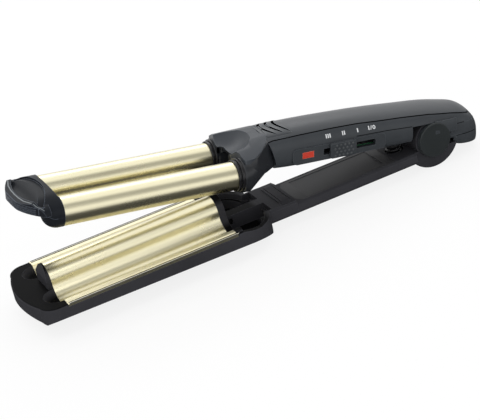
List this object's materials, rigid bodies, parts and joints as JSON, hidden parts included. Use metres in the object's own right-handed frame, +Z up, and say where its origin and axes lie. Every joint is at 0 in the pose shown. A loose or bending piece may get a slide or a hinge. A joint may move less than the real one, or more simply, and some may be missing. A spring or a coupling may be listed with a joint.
{
  "type": "hair waver",
  "caption": "Handheld hair waver with two heated barrels that close onto a wave-shaped heated plate, sprung jaw, slide switch and cord gland.",
  "frame": {"origin": "centre of the bounding box in X and Y, on the surface the waver rests on", "axes": "+X from the tip of the jaw to the cord end, +Y away from the side with the slide switch, +Z up; jaw open, switch at position II"},
  "size_m": [0.3296, 0.071, 0.0846],
  "materials": {
    "frame_plastic": "satin black heat-resistant plastic",
    "handle_plastic": "satin charcoal plastic",
    "hood_plastic": "satin graphite plastic, slightly lighter",
    "trim_plastic": "matt black moulded plastic",
    "champagne_coat": "brushed champagne ceramic-titanium coating",
    "aluminium_block": "extruded, plain",
    "heater_ceramic": "plain fired ceramic in film",
    "steel": "plain zinc plated",
    "red_lens": "clear red moulding",
    "board": "glass-fibre circuit board",
    "light_plastic": "natural nylon"
  },
  "bodies": {
    "lower_arm": {"lower_frame": "frame_plastic", "wave_plate": "champagne_coat", "plate_front_cap": "trim_plastic", "plate_rear_collar": "trim_plastic", "plate_clamp": "aluminium_block", "plate_heater": "heater_ceramic", "heater_bed": "light_plastic", "plate_thermostat": "steel", "lever_inlay": "handle_plastic", "neck_cover": "frame_plastic", "plate_screws": "steel", "opening_spring": "steel"},
    "upper_arm": {"handle_body": "handle_plastic", "handle_top": "hood_plastic", "rear_shell": "handle_plastic", "rear_base": "handle_plastic", "yoke": "trim_plastic", "tip_cap": "handle_plastic", "tip_lip": "trim_plastic", "hinge_pin": "steel", "rear_screws": "steel", "bush_retainer": "light_plastic", "switch_panel": "handle_plastic", "indicator_lens": "red_lens", "slide_switch": "light_plastic", "control_board": "board", "board_screws": "steel", "indicator_led": "light_plastic", "terminal_block": "light_plastic", "thermal_fuse": "heater_ceramic", "barrel_near": "champagne_coat", "barrel_ring_near": "trim_plastic", "barrel_sink_near": "aluminium_block", "barrel_heater_near": "heater_ceramic", "hinge_cap_near": "handle_plastic", "barrel_far": "champagne_coat", "barrel_ring_far": "trim_plastic", "barrel_sink_far": "aluminium_block", "barrel_heater_far": "heater_ceramic", "hinge_cap_far": "handle_plastic"},
    "slider": {"slide_pad": "trim_plastic", "slide_carrier": "trim_plastic"},
    "gland": {"cord_bush": "trim_plastic"}
  },
  "joints": [
    {"name": "jaw", "type": "hinge", "parent": "lower_arm", "child": "upper_arm", "pos_m": [0.12471, 0, 0.02], "axis": [0, 1, 0], "range_deg": [-10.6, 0], "stiffness_Nm_per_rad": 1.6, "springref_deg": 22.92, "deforming": ["opening_spring"]},
    {"name": "switch_slide", "type": "slide", "parent": "upper_arm", "child": "slider", "axis": [0.9829, 0, -0.184], "range_m": [-0.0106, 0.0212]},
    {"name": "gland_turn", "type": "hinge", "parent": "upper_arm", "child": "gland", "pos_m": [0.15801, 0, 0.01418], "axis": [0.9829, 0, -0.184], "continuous": true}
  ]
}
